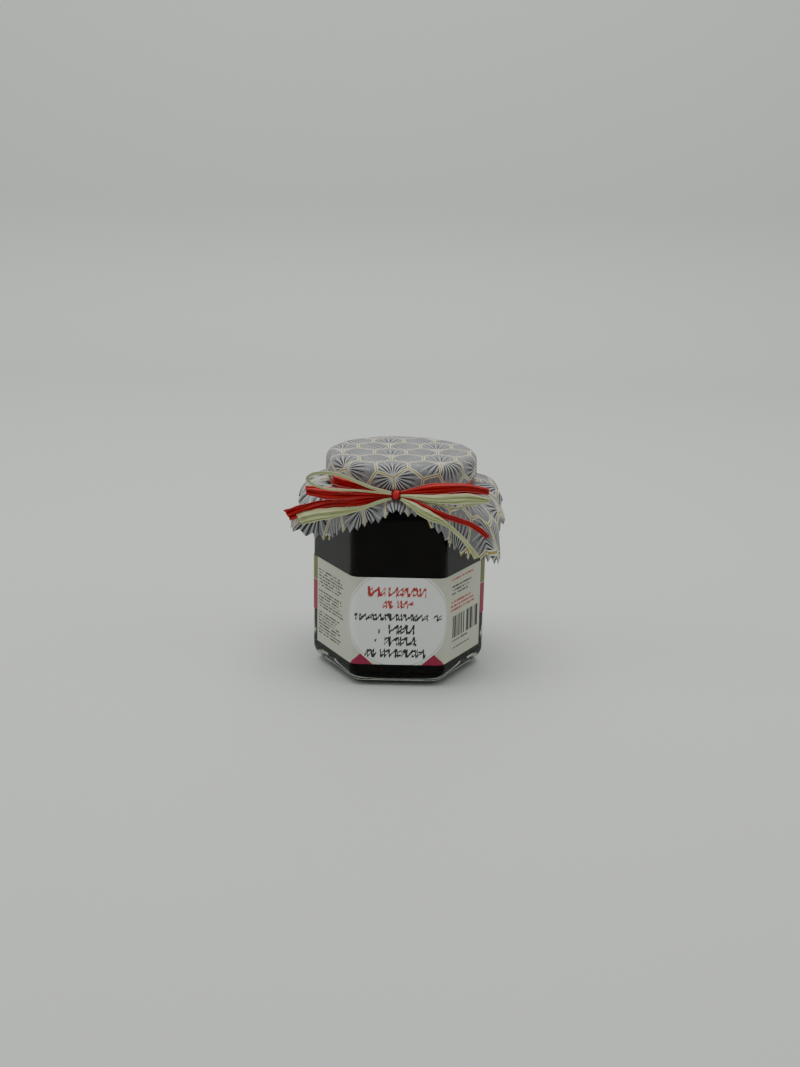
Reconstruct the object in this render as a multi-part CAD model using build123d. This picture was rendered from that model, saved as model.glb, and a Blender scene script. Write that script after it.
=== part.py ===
"""Hexagonal jam jar with a gathered cloth cover, tied at the neck with a raffia bow.

Millimetres, +Z up. The origin is the centre of the base, on the surface that the jar
stands on, and the jar's front panel faces -Y.
"""
from build123d import *
import math
import os

# Glass jar
ACROSS_FLATS = 70.0
CORNER_RADIUS = 5.2
HEEL_RADIUS = 8.0
WALL = 2.4
FLOOR_THICKNESS = 5.0
PUSH_UP_RADIUS = 21.0
PUSH_UP_DEPTH = 1.2
SHOULDER_BOTTOM = 77.0
SHOULDER_TOP = 85.5
NECK_RADIUS = 30.4
BORE_RADIUS = 27.9
FINISH_RADIUS = 31.3
FINISH_BOTTOM = 91.0
RIM_HEIGHT = 100.0
RIM_ROUND = 1.0
FILL_HEIGHT = 91.0

# Twist-off lid
LID_RADIUS = 33.2
LID_WALL = 0.5
LID_BOTTOM = 91.0
LID_TOP = RIM_HEIGHT + LID_WALL
LID_EDGE_ROUND = 1.6
CURL_RADIUS = 0.65

# Paper labels
LABEL_THICKNESS = 0.15
LABEL_GAP = 0.02
LABEL_BOTTOM = 10.6
LABEL_TOP = 51.4
LABEL_END_Y = -5.1
BACK_LABEL_BOTTOM = 25.5
BACK_LABEL_END_GAP = 0.4

# Cloth cover, a square gathered by the tie
CLOTH_SIDE = 118.0
CLOTH_SHIFT = (5.5, 1.5)
CLOTH_THICKNESS = 0.5
CLOTH_TOP = 101.2
CLOTH_LID_RADIUS = 34.3
CLOTH_EDGE_ROUND = 3.0
CLOTH_TUCK_TOP = 91.6
CLOTH_TUCK_RADIUS = 1.5
TIE_RADIUS = 31.5
TIE_TOP = 89.7
TIE_BOTTOM = 86.9
TIE_PLEATS = 36
PLEAT_DEPTH = 0.3
SEGMENTS_PER_SIDE = 18
SKIRT_RINGS = 6
SKIRT_REACH = 0.88
SKIRT_FALL = 0.08

# Where the gathered hem hangs: azimuth in degrees, distance from the axis, height
HEM = [
    (-145.0, 57.4, 71.0),
    (-139.0, 50.5, 68.3),
    (-133.0, 46.0, 67.7),
    (-122.0, 42.0, 71.5),
    (-108.0, 39.2, 76.5),
    (-92.0, 38.2, 81.0),
    (-76.0, 38.6, 80.4),
    (-67.0, 41.0, 72.5),
    (-58.0, 43.0, 66.5),
    (-48.0, 46.5, 60.0),
    (-37.0, 54.7, 58.0),
    (-20.0, 48.5, 71.0),
    (0.0, 46.0, 77.0),
    (20.0, 48.0, 78.0),
    (45.0, 61.0, 70.5),
    (62.0, 52.0, 70.0),
    (90.0, 44.5, 78.0),
    (118.0, 51.0, 71.5),
    (137.0, 60.5, 69.5),
    (158.0, 50.5, 74.0),
    (178.0, 46.0, 76.0),
    (196.0, 46.0, 75.5),
]

# Raffia tie and bow
BAND_RADIUS = 31.9
BAND_THICKNESS = 0.8
BAND_BOTTOM = 87.1
BAND_TOP = 89.5
KNOT_CENTRE = (-1.8, -35.6, 89.2)
KNOT_RADII = (2.1, 2.2, 2.5)
RED_THICKNESS = 0.3
GREEN_THICKNESS = 0.25

# Each strip: the points of its centre line with its width there, x, y, z, width
RED_STRIPS = {
    "raffia_red_upper": [
        (-4.5, -35.1, 90.3, 1.0),
        (-9.0, -35.3, 91.1, 1.6),
        (-19.0, -34.7, 92.9, 3.4),
        (-29.3, -33.6, 95.2, 4.2),
    ],
    "raffia_red_middle": [
        (-4.4, -36.0, 89.8, 1.8),
        (-15.0, -36.4, 89.4, 3.6),
        (-24.0, -36.2, 89.1, 5.0),
        (-32.0, -35.5, 89.3, 5.6),
        (-41.0, -34.2, 90.2, 4.0),
    ],
    "raffia_red_lower": [
        (-4.4, -35.6, 88.7, 1.2),
        (-15.0, -35.9, 86.4, 3.6),
        (-24.0, -35.7, 85.0, 3.4),
        (-32.0, -35.1, 84.3, 4.2),
        (-42.5, -34.6, 81.2, 5.4),
        (-49.2, -34.0, 78.6, 5.6),
    ],
    "raffia_red_loop": [
        (0.8, -36.2, 90.4, 1.6),
        (8.0, -36.8, 91.8, 3.4),
        (16.0, -36.9, 92.8, 4.8),
        (26.0, -36.2, 93.3, 3.8),
        (33.0, -35.0, 92.5, 3.0),
        (38.0, -33.6, 91.0, 2.6),
        (37.6, -32.4, 90.6, 2.6),
        (30.0, -31.6, 90.8, 3.0),
        (20.0, -32.6, 91.2, 3.0),
        (9.0, -35.2, 90.6, 2.2),
        (1.0, -35.6, 89.8, 1.2),
    ],
    "raffia_red_tail": [
        (0.8, -36.3, 88.7, 1.2),
        (6.0, -37.2, 86.9, 1.8),
        (12.0, -38.0, 84.2, 2.2),
        (18.0, -38.4, 81.6, 2.6),
        (24.0, -38.3, 79.6, 2.6),
        (30.0, -37.8, 77.6, 2.2),
        (35.0, -37.2, 74.6, 2.4),
        (38.8, -36.6, 71.2, 2.0),
    ],
}
GREEN_STRIPS = {
    "raffia_green_tail_left": [
        (-4.4, -36.5, 87.9, 0.9),
        (-9.0, -36.9, 86.3, 1.6),
        (-17.3, -37.2, 83.2, 1.8),
        (-28.5, -36.7, 80.9, 4.4),
        (-38.0, -35.9, 79.0, 5.2),
        (-43.8, -35.3, 77.1, 5.2),
    ],
    "raffia_green_loop_right": [
        (0.9, -36.8, 89.3, 0.9),
        (8.0, -37.6, 88.9, 2.2),
        (15.0, -38.0, 88.4, 3.4),
        (22.0, -37.9, 88.4, 4.2),
        (29.0, -37.2, 88.6, 4.2),
        (35.0, -36.0, 88.0, 2.8),
        (38.4, -34.9, 87.2, 1.8),
        (37.6, -33.9, 86.6, 1.4),
        (30.0, -34.6, 85.0, 1.2),
        (23.5, -35.6, 83.8, 1.0),
        (14.0, -36.2, 86.0, 1.0),
        (1.2, -36.0, 88.0, 0.8),
    ],
    "raffia_green_tail_right": [
        (0.9, -37.0, 87.8, 1.2),
        (5.0, -37.9, 85.6, 2.8),
        (10.0, -38.9, 82.6, 4.0),
        (15.0, -39.3, 80.2, 3.6),
        (20.5, -39.2, 77.4, 1.9),
        (25.0, -38.8, 73.4, 1.8),
        (30.0, -38.2, 68.0, 1.9),
        (34.2, -37.6, 62.0, 2.6),
    ],
}
GREEN_EDGEWISE_STRIPS = {
    "raffia_green_loop_left": [
        (-4.6, -36.9, 90.7, 0.9),
        (-13.0, -37.4, 92.9, 1.2),
        (-22.0, -37.5, 96.6, 1.4),
        (-30.0, -37.1, 98.7, 1.4),
        (-37.0, -36.4, 98.2, 1.4),
        (-40.3, -35.9, 95.8, 1.3),
        (-37.2, -36.0, 93.0, 1.1),
        (-30.0, -36.7, 91.4, 1.0),
        (-18.0, -37.2, 91.2, 0.9),
        (-6.0, -37.2, 90.0, 0.7),
    ],
}


def hexagon(across_flats, corner_radius, height):
    """A hexagonal face with rounded corners, two of them on the X axis."""
    outline = RegularPolygon(across_flats / 2, 6, major_radius=False)
    return Plane.XY.offset(height) * fillet(outline.vertices(), corner_radius)


def heel_sections(across_flats, corner_radius, radius, bottom):
    """Faces that follow the round between a hexagonal wall and its floor."""
    sections = []
    for angle in (0, 25, 50, 70, 90):
        inset = radius * (1 - math.sin(math.radians(angle)))
        height = bottom + radius * (1 - math.cos(math.radians(angle)))
        corner = max(corner_radius - 0.35 * inset, corner_radius / 2)
        sections.append(hexagon(across_flats - 2 * inset, corner, height))
    return sections


def shoulder_sections(across_flats, corner_radius, neck_radius, bottom, top):
    """Faces that turn the hexagon into the round neck."""
    narrowing = across_flats - 2 * neck_radius
    rise = top - bottom
    neck_corner = neck_radius * 0.97
    steps = ((0.0, 0.0, 0.0), (0.35, 0.12, 0.08), (0.72, 0.5, 0.4), (1.0, 1.0, 1.0))
    sections = []
    for height_part, narrow_part, corner_part in steps:
        corner = corner_radius + corner_part * (neck_corner - corner_radius)
        sections.append(hexagon(across_flats - narrow_part * narrowing, corner, bottom + height_part * rise))
    return sections


def hexagonal_bottle(across_flats, corner_radius, heel, floor, neck_radius, shoulder_top):
    """A solid hexagonal body with a round heel and a shoulder up to the neck's radius."""
    body_bottom = floor + heel
    body = extrude(hexagon(across_flats, corner_radius, body_bottom), SHOULDER_BOTTOM - body_bottom)
    lower = loft(heel_sections(across_flats, corner_radius, heel, floor))
    upper = loft(shoulder_sections(across_flats, corner_radius, neck_radius, SHOULDER_BOTTOM, shoulder_top))
    return lower + body + upper


def make_cavity():
    """The space inside the jar, up to the rim."""
    inside = hexagonal_bottle(
        ACROSS_FLATS - 2 * WALL,
        CORNER_RADIUS,
        HEEL_RADIUS - WALL / 2,
        FLOOR_THICKNESS,
        BORE_RADIUS,
        SHOULDER_TOP - 0.5,
    )
    bore_bottom = SHOULDER_TOP - 1.0
    bore = Cylinder(BORE_RADIUS, RIM_HEIGHT - bore_bottom, align=(Align.CENTER, Align.CENTER, Align.MIN))
    return inside + Pos(0, 0, bore_bottom) * bore


def make_jar_glass(cavity):
    """The jar: hexagonal body, shoulder, neck and finish, with a shallow push-up below."""
    body = hexagonal_bottle(ACROSS_FLATS, CORNER_RADIUS, HEEL_RADIUS, 0, NECK_RADIUS, SHOULDER_TOP)
    profile = Polyline(
        (0, SHOULDER_TOP - 1),
        (NECK_RADIUS, SHOULDER_TOP - 1),
        (NECK_RADIUS, FINISH_BOTTOM - 1),
        (FINISH_RADIUS, FINISH_BOTTOM),
        (FINISH_RADIUS, RIM_HEIGHT - RIM_ROUND),
        (FINISH_RADIUS - RIM_ROUND, RIM_HEIGHT),
        (0, RIM_HEIGHT),
        close=True,
    )
    neck = revolve(Plane.XZ * make_face(profile), Axis.Z)
    dome_radius = (PUSH_UP_RADIUS**2 + PUSH_UP_DEPTH**2) / (2 * PUSH_UP_DEPTH)
    push_up = Pos(0, 0, PUSH_UP_DEPTH - dome_radius) * Sphere(dome_radius)
    return body + neck - cavity - push_up


def make_jam(cavity):
    """The jam: the jar's inside, up to the fill level."""
    filled = Pos(0, 0, FILL_HEIGHT / 2) * Box(ACROSS_FLATS * 1.2, ACROSS_FLATS * 1.2, FILL_HEIGHT)
    return cavity & filled


def make_lid():
    """The twist-off lid: a pressed cup with a rolled curl at its lower edge."""
    cup = Cylinder(LID_RADIUS, LID_TOP - LID_BOTTOM - CURL_RADIUS, align=(Align.CENTER, Align.CENTER, Align.MAX))
    cup = Pos(0, 0, LID_TOP) * cup
    cup = fillet(cup.edges().group_by(Axis.Z)[-1], LID_EDGE_ROUND)
    inner_radius = LID_RADIUS - LID_WALL
    inside = Cylinder(inner_radius, RIM_HEIGHT, align=(Align.CENTER, Align.CENTER, Align.MAX))
    inside = Pos(0, 0, RIM_HEIGHT) * inside
    inside = fillet(inside.edges().group_by(Axis.Z)[-1], LID_EDGE_ROUND - LID_WALL)
    curl = Pos(0, 0, LID_BOTTOM + CURL_RADIUS) * Torus(LID_RADIUS - LID_WALL / 2, CURL_RADIUS)
    return cup - inside + curl


def make_label(bottom, top):
    """A closed band of paper round the hexagonal wall."""
    outer = ACROSS_FLATS + 2 * (LABEL_GAP + LABEL_THICKNESS)
    inner = ACROSS_FLATS + 2 * LABEL_GAP
    band = extrude(hexagon(outer, CORNER_RADIUS + LABEL_GAP + LABEL_THICKNESS, bottom), top - bottom)
    return band - extrude(hexagon(inner, CORNER_RADIUS + LABEL_GAP, bottom), top - bottom)


def half_space(y_limit, side):
    """A block that holds everything on one side of a plane across Y."""
    size = 2 * ACROSS_FLATS
    return Pos(0, y_limit + side * size / 2, size / 2) * Box(size, size, size)


def make_labels():
    """The front label, and the shorter back label that meets its ends."""
    front = make_label(LABEL_BOTTOM, LABEL_TOP) & half_space(LABEL_END_Y, -1)
    back = make_label(BACK_LABEL_BOTTOM, LABEL_TOP) & half_space(LABEL_END_Y + BACK_LABEL_END_GAP, 1)
    return front, back


def hem_directions():
    """Azimuths, in radians, of points spread evenly along the square cloth's edge."""
    half = CLOTH_SIDE / 2
    corners = [(-half, -half), (half, -half), (half, half), (-half, half)]
    directions = []
    for side in range(4):
        start = corners[side]
        end = corners[(side + 1) % 4]
        for step in range(SEGMENTS_PER_SIDE):
            part = step / SEGMENTS_PER_SIDE
            x = start[0] + part * (end[0] - start[0]) + CLOTH_SHIFT[0]
            y = start[1] + part * (end[1] - start[1]) + CLOTH_SHIFT[1]
            directions.append(math.atan2(y, x))
    return directions


def hem_at(direction):
    """Radius and height of the hanging hem at an azimuth, blended between the HEM points."""
    angle = math.degrees(direction)
    first = HEM[0][0]
    angle = first + (angle - first) % 360
    ring = HEM + [(first + 360, HEM[0][1], HEM[0][2])]
    for low, high in zip(ring, ring[1:]):
        if low[0] <= angle <= high[0]:
            part = (angle - low[0]) / (high[0] - low[0])
            blend = part * part * (3 - 2 * part)
            return low[1] + blend * (high[1] - low[1]), low[2] + blend * (high[2] - low[2])
    return ring[-1][1], ring[-1][2]


def cloth_rings():
    """The rings of the cloth over the lid, from its middle to the tie: radius and height."""
    corner = CLOTH_LID_RADIUS - CLOTH_EDGE_ROUND
    rings = [(corner / 2, CLOTH_TOP), (corner, CLOTH_TOP)]
    for angle in (30, 60, 90):
        turn = math.radians(angle)
        rings.append(
            (corner + CLOTH_EDGE_ROUND * math.sin(turn), CLOTH_TOP - CLOTH_EDGE_ROUND * (1 - math.cos(turn)))
        )
    tuck_centre = CLOTH_LID_RADIUS - CLOTH_TUCK_RADIUS
    for angle in (0, 40, 80):
        turn = math.radians(angle)
        radius = tuck_centre + CLOTH_TUCK_RADIUS * math.cos(turn)
        rings.append((radius, CLOTH_TUCK_TOP - CLOTH_TUCK_RADIUS * math.sin(turn)))
    rings.append((TIE_RADIUS, TIE_TOP))
    rings.append((TIE_RADIUS, TIE_BOTTOM))
    return rings


def curve(start, pull, end, part):
    """A value on the curve from start to end that leaves and arrives towards pull."""
    rest = 1 - part
    return rest * rest * start + 2 * rest * part * pull + part * part * end


def cloth_column(direction):
    """The cloth's outer points at one azimuth, from the first ring down to the hem."""
    cosine = math.cos(direction)
    sine = math.sin(direction)
    points = []
    for radius, height in cloth_rings():
        points.append((radius * cosine, radius * sine, height))
    hem_radius, hem_height = hem_at(direction)
    knee_radius = TIE_RADIUS + SKIRT_REACH * (hem_radius - TIE_RADIUS)
    knee_height = TIE_BOTTOM + SKIRT_FALL * (hem_height - TIE_BOTTOM)
    for ring in range(1, SKIRT_RINGS + 1):
        part = ring / SKIRT_RINGS
        radius = curve(TIE_RADIUS, knee_radius, hem_radius, part)
        height = curve(TIE_BOTTOM, knee_height, hem_height, part)
        pleat = PLEAT_DEPTH * math.sin(TIE_PLEATS * direction) * (1 - part)
        points.append(((radius + pleat) * cosine, (radius + pleat) * sine, height))
    return points


def inner_column(column, direction):
    """The same points one cloth thickness inside, measured square to the column."""
    cosine = math.cos(direction)
    sine = math.sin(direction)
    flat = [(x * cosine + y * sine, z) for x, y, z in column]
    inner = []
    for index, (radius, height) in enumerate(flat):
        before = flat[index - 1] if index else (0.0, CLOTH_TOP)
        after = flat[min(index + 1, len(flat) - 1)]
        run = after[0] - before[0]
        drop = after[1] - before[1]
        length = math.hypot(run, drop)
        inner_radius = radius + CLOTH_THICKNESS * drop / length
        inner_height = height - CLOTH_THICKNESS * run / length
        inner.append((inner_radius * cosine, inner_radius * sine, inner_height))
    return inner


def triangle(a, b, c):
    """A flat three-sided face."""
    return Face(Wire.make_polygon([a, b, c], close=True))


def skin(columns, pole, outward):
    """Triangles that join neighbouring columns, and a fan round the pole."""
    faces = []
    count = len(columns)
    for index in range(count):
        left = columns[index]
        right = columns[(index + 1) % count]
        loops = [(pole, left[0], right[0])]
        for row in range(len(left) - 1):
            loops.append((left[row], left[row + 1], right[row + 1]))
            loops.append((left[row], right[row + 1], right[row]))
        for loop in loops:
            faces.append(triangle(*loop) if outward else triangle(*reversed(loop)))
    return faces


def make_cloth_cover():
    """The square cloth: flat on the lid, gathered under it, and flared into a hem."""
    directions = hem_directions()
    outer = [cloth_column(direction) for direction in directions]
    inner = [inner_column(column, direction) for column, direction in zip(outer, directions)]
    faces = skin(outer, (0, 0, CLOTH_TOP), True)
    faces += skin(inner, (0, 0, CLOTH_TOP - CLOTH_THICKNESS), False)
    count = len(directions)
    for index in range(count):
        after = (index + 1) % count
        faces.append(triangle(outer[index][-1], inner[index][-1], inner[after][-1]))
        faces.append(triangle(outer[index][-1], inner[after][-1], outer[after][-1]))
    return Solid(Shell(faces))


def make_tie_band():
    """The raffia wound round the gathered neck of the cloth."""
    height = BAND_TOP - BAND_BOTTOM
    section = Pos(BAND_RADIUS + BAND_THICKNESS / 2, BAND_BOTTOM + height / 2)
    section = section * RectangleRounded(BAND_THICKNESS, height, BAND_THICKNESS * 0.4)
    return revolve(Plane.XZ * section, Axis.Z)


def make_knot():
    """The bow's knot, an egg-shaped turn of raffia."""
    return Pos(*KNOT_CENTRE) * scale(Sphere(1), by=KNOT_RADII)


def join_sections(sections):
    """A closed solid through four-cornered sections, with a flat cap at each end."""
    first = sections[0]
    last = sections[-1]
    faces = [triangle(first[0], first[1], first[2]), triangle(first[0], first[2], first[3])]
    faces += [triangle(last[2], last[1], last[0]), triangle(last[3], last[2], last[0])]
    for section, following in zip(sections, sections[1:]):
        for corner in range(4):
            after = (corner + 1) % 4
            faces.append(triangle(section[corner], following[corner], following[after]))
            faces.append(triangle(section[corner], following[after], section[after]))
    return Solid(Shell(faces))


def make_ribbon(stations, thickness, edgewise):
    """A flat strip along a centre line, upright, or bent edgewise in the front plane."""
    centres = [Vector(x, y, z) for x, y, z, width in stations]
    sections = []
    for index, station in enumerate(stations):
        before = centres[max(index - 1, 0)]
        after = centres[min(index + 1, len(centres) - 1)]
        along = (after - before).normalized()
        if edgewise:
            across = along.cross(Vector(0, -1, 0)).normalized()
        else:
            across = (Vector(0, 0, 1) - along * along.Z).normalized()
        half_width = across * (station[3] / 2)
        half_depth = along.cross(across) * (thickness / 2)
        sections.append(
            [
                centres[index] + half_width + half_depth,
                centres[index] + half_width - half_depth,
                centres[index] - half_width - half_depth,
                centres[index] - half_width + half_depth,
            ]
        )
    return join_sections(sections)


def make_parts():
    """Every separate piece of the jar, by name."""
    cavity = make_cavity()
    label_front, label_back = make_labels()
    parts = {
        "jar_glass": make_jar_glass(cavity),
        "jam": make_jam(cavity),
        "lid": make_lid(),
        "label_front": label_front,
        "label_back": label_back,
        "cloth_cover": make_cloth_cover(),
        "tie_band": make_tie_band(),
        "knot": make_knot(),
    }
    for name, stations in RED_STRIPS.items():
        parts[name] = make_ribbon(stations, RED_THICKNESS, False)
    for name, stations in GREEN_STRIPS.items():
        parts[name] = make_ribbon(stations, GREEN_THICKNESS, False)
    for name, stations in GREEN_EDGEWISE_STRIPS.items():
        parts[name] = make_ribbon(stations, GREEN_THICKNESS, True)
    return parts


os.makedirs("parts", exist_ok=True)
for part_name, part_solid in make_parts().items():
    export_step(part_solid, f"parts/{part_name}.step")
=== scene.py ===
"""Looks of a hexagonal jam jar with a gathered cotton cover and a raffia bow.

Metres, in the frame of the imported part: the jar stands on z = 0 with its front panel towards -Y.
"""
import math
import bpy
from mathutils import Matrix, Vector


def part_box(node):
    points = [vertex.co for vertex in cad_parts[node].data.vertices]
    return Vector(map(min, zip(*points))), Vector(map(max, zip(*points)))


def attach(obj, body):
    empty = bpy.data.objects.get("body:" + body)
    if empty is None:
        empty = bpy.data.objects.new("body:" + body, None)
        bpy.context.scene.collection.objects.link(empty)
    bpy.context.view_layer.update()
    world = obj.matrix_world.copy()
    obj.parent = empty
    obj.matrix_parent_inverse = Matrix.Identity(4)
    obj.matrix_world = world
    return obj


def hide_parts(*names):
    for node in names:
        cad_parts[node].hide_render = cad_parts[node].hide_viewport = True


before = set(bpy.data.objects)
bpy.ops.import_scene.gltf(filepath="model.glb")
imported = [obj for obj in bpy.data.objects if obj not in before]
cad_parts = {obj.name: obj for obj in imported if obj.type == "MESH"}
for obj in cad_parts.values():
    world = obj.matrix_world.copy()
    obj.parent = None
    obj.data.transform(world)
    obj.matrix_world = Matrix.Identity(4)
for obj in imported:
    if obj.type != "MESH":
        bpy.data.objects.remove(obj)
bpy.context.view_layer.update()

MM = 0.001

# Jar and label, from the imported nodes
JAR_LOW, JAR_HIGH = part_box("jar_glass")
LABEL_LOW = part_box("label_front")[0]
BACK_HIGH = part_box("label_back")[1]
COVER_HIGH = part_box("cloth_cover")[1]
PANEL = (JAR_HIGH[1] - JAR_LOW[1]) / math.sqrt(3)
HALF_PANEL = PANEL / 2

# Cloth cover: a square, its place over the jar, and the line that it follows down to the tie
CLOTH_SIDE = 118 * MM
CLOTH_SHIFT = (5.5 * MM, 1.5 * MM)
CLOTH_CELLS = 144
TOOTH_CELLS = 6
TOOTH_DEPTH = 1.6 * MM
TOOTH_FADE_CELLS = 5
CLOTH_THICKNESS = 0.35 * MM
GATHER_DEPTH = 0.32 * MM
FOLD_DEPTH = 1.1 * MM
SAG_DEPTH = 0.35 * MM
LID_RADIUS = 34.3 * MM
EDGE_ROUND = 3.6 * MM
TUCK_ROUND = 1.5 * MM
TUCK_TOP = 91.6 * MM
TIE_RADIUS = 31.6 * MM
TIE_BOTTOM = 86.9 * MM
SKIRT_REACH = 0.88
SKIRT_FALL = 0.08
HEM = [
    (-145, 57.4, 71.0), (-139, 50.5, 68.3), (-133, 46.0, 67.7), (-122, 42.0, 71.5), (-108, 39.2, 76.5),
    (-92, 38.2, 81.0), (-76, 38.6, 80.4), (-67, 41.0, 72.5), (-58, 43.0, 66.5), (-48, 46.5, 60.0),
    (-37, 54.7, 58.0), (-20, 48.5, 71.0), (0, 46.0, 77.0), (20, 48.0, 78.0), (45, 61.0, 70.5),
    (62, 52.0, 70.0), (90, 44.5, 78.0), (118, 51.0, 71.5), (137, 60.5, 69.5), (158, 50.5, 74.0),
    (178, 46.0, 76.0), (196, 46.0, 75.5),
]

# Cotton print, in millimetres on the flat cloth
PRINT_WIDTH = 14.3
PRINT_TURN = math.radians(3.0)
PRINT_STAR = (-4.6, -12.5)
FAN_SECTORS = 24
CREAM_LINE = 0.72
GOLD_LINE = 0.33
THREAD_RATE = 17.0

# Raffia strips: x, y, z and width along each centre line, in millimetres
RED_STRIPS = {
    "red_upper": [(-4.5, -35.1, 90.3, 1.0), (-9, -35.3, 91.1, 1.6), (-19, -34.7, 92.9, 3.4),
                  (-29.3, -33.6, 95.2, 4.2)],
    "red_middle": [(-3.6, -36.0, 89.8, 1.8), (-15, -36.4, 89.4, 3.6), (-24, -36.2, 89.1, 5.0),
                   (-32, -35.5, 89.3, 5.6), (-41, -34.2, 90.2, 4.0)],
    "red_lower": [(-3.6, -35.6, 88.7, 1.2), (-15, -35.9, 86.4, 3.6), (-24, -35.7, 85.0, 3.4),
                  (-32, -35.1, 84.3, 4.2), (-42.5, -34.6, 81.2, 5.4), (-49.2, -34.0, 78.6, 5.6)],
    "red_loop": [(0.2, -36.2, 90.2, 1.6), (8, -36.8, 91.8, 3.4), (16, -36.9, 92.8, 4.8),
                 (26, -36.2, 93.3, 3.8), (33, -35.0, 92.5, 3.0), (38, -33.6, 91.0, 2.6),
                 (37.6, -32.4, 90.6, 2.6), (30, -31.6, 90.8, 3.0), (20, -32.6, 91.2, 3.0),
                 (9, -35.2, 90.6, 2.2), (0.2, -35.6, 89.8, 1.2)],
    "red_tail": [(0.2, -36.3, 88.7, 1.2), (6, -37.2, 86.9, 1.8), (12, -38.0, 84.2, 2.2),
                 (18, -38.4, 81.6, 2.6), (24, -38.3, 79.6, 2.6), (30, -37.8, 77.6, 2.2),
                 (35, -37.2, 74.6, 2.4), (38.8, -36.6, 71.2, 2.0)],
}
GREEN_STRIPS = {
    "green_tail_left": [(-3.8, -36.5, 87.9, 0.9), (-9, -36.9, 86.3, 1.6), (-17.3, -37.2, 83.2, 1.8),
                        (-28.5, -36.7, 80.9, 4.4), (-38, -35.9, 79.0, 5.2), (-43.8, -35.3, 77.1, 5.2)],
    "green_loop_right": [(0.2, -36.8, 89.3, 0.9), (8, -37.6, 88.9, 2.2), (15, -38.0, 88.4, 3.4),
                         (22, -37.9, 88.4, 4.2), (29, -37.2, 88.6, 4.2), (35, -36.0, 88.0, 2.8),
                         (38.4, -34.9, 87.2, 1.8), (37.6, -33.9, 86.6, 1.4), (30, -34.6, 85.0, 1.2),
                         (23.5, -35.6, 83.8, 1.0), (14, -36.2, 86.0, 1.0), (0.4, -36.0, 88.0, 0.8)],
    "green_tail_right": [(0.2, -37.0, 87.8, 1.2), (5, -37.9, 85.6, 2.8), (10, -38.9, 82.6, 4.0),
                         (15, -39.3, 80.2, 3.6), (20.5, -39.2, 77.4, 1.9), (25, -38.8, 73.4, 1.8),
                         (30, -38.2, 68.0, 1.9), (34.2, -37.6, 62.0, 2.6)],
    "green_loop_left": [(-3.8, -36.9, 90.5, 0.9), (-13, -37.4, 92.9, 1.2), (-22, -37.5, 96.6, 1.4),
                        (-30, -37.1, 98.7, 1.4), (-37, -36.4, 98.2, 1.4), (-40.3, -35.9, 95.8, 1.3),
                        (-37.2, -36.0, 93.0, 1.1), (-30, -36.7, 91.4, 1.0), (-18, -37.2, 91.2, 0.9),
                        (-3.8, -37.2, 90.0, 0.7)],
}
EDGEWISE = ("green_loop_left",)
STRIP_THICKNESS = 0.16 * MM
STRIP_CELLS = 10


# ---------------------------------------------------------------- node helpers

class Nodes:
    """Short calls for adding and joining shader nodes in one tree."""

    def __init__(self, tree):
        self.tree = tree

    def add(self, kind, **settings):
        node = self.tree.nodes.new(kind)
        for name, value in settings.items():
            setattr(node, name, value)
        return node

    def feed(self, socket, value):
        if isinstance(value, bpy.types.NodeSocket):
            self.tree.links.new(value, socket)
        else:
            socket.default_value = value

    def math(self, operation, first, second=0.0, third=0.0):
        node = self.add("ShaderNodeMath", operation=operation)
        self.feed(node.inputs[0], first)
        self.feed(node.inputs[1], second)
        self.feed(node.inputs[2], third)
        return node.outputs[0]

    def mix(self, factor, first, second):
        node = self.add("ShaderNodeMix", data_type="RGBA")
        self.feed(node.inputs["Factor"], factor)
        self.feed(node.inputs["A"], first)
        self.feed(node.inputs["B"], second)
        return node.outputs["Result"]

    def step(self, value, low, high):
        """0 below low, 1 above high, smooth between."""
        node = self.add("ShaderNodeMapRange", interpolation_type="SMOOTHSTEP")
        self.feed(node.inputs["Value"], value)
        self.feed(node.inputs["From Min"], low)
        self.feed(node.inputs["From Max"], high)
        return node.outputs["Result"]

    def below(self, value, limit, soft):
        return self.math("SUBTRACT", 1.0, self.step(value, limit - soft, limit + soft))

    def between(self, value, low, high, soft):
        rising = self.step(value, low - soft, low + soft)
        return self.math("MULTIPLY", rising, self.below(value, high, soft))

    def both(self, first, second):
        return self.math("MULTIPLY", first, second)

    def either(self, first, second):
        return self.math("MAXIMUM", first, second)

    def squares(self, first, second):
        return self.math("ADD", self.math("MULTIPLY", first, first), self.math("MULTIPLY", second, second))

    def noise(self, vector, scale, detail=2.0):
        node = self.add("ShaderNodeTexNoise")
        self.feed(node.inputs["Vector"], vector)
        self.feed(node.inputs["Scale"], scale)
        self.feed(node.inputs["Detail"], detail)
        return node.outputs["Fac"]

    def vector(self, x, y, z=0.0):
        node = self.add("ShaderNodeCombineXYZ")
        self.feed(node.inputs[0], x)
        self.feed(node.inputs[1], y)
        self.feed(node.inputs[2], z)
        return node.outputs[0]

    def parts(self, vector):
        node = self.add("ShaderNodeSeparateXYZ")
        self.feed(node.inputs[0], vector)
        return node.outputs[0], node.outputs[1], node.outputs[2]

    def bump(self, height, strength, distance):
        node = self.add("ShaderNodeBump")
        self.feed(node.inputs["Height"], height)
        self.feed(node.inputs["Strength"], strength)
        self.feed(node.inputs["Distance"], distance)
        return node.outputs["Normal"]


def new_material(name):
    """A material with its Principled shader and node helper."""
    material = bpy.data.materials.new(name)
    material.use_nodes = True
    shader = material.node_tree.nodes["Principled BSDF"]
    return material, Nodes(material.node_tree), shader


def object_place(nodes):
    return nodes.add("ShaderNodeTexCoord").outputs["Object"]


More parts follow.
